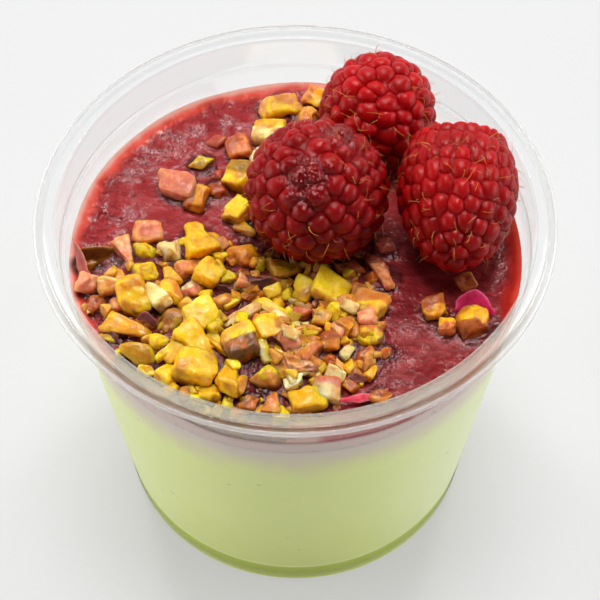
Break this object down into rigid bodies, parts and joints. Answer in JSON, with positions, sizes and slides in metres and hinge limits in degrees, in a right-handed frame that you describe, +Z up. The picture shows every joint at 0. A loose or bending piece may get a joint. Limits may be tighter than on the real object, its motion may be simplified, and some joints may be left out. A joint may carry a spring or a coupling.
{
  "type": "panna cotta dessert cup",
  "caption": "Clear tapered plastic cup filled with green pistachio panna cotta under red berry compote, topped with chopped pistachios and whole raspberries.",
  "frame": {"origin": "centre of the foot ring that the cup stands on", "axes": "+Z up along the cup's axis, -Y towards the side with most of the nuts, +X to the right when seen from there"},
  "size_m": [0.085, 0.085, 0.0804],
  "materials": {
    "clear_plastic": "clear thin thermoformed plastic",
    "panna_cotta": "smooth set cream, satin",
    "berry_compote": "wet, finely wrinkled puree with chopped nuts",
    "raspberry": "satin berry skin with a slight bloom"
  },
  "bodies": {
    "root": {"cup": "clear_plastic", "panna_cotta": "panna_cotta", "berry_compote": "berry_compote", "raspberry_front": "raspberry", "raspberry_back": "raspberry", "raspberry_right": "raspberry"}
  },
  "joints": []
}
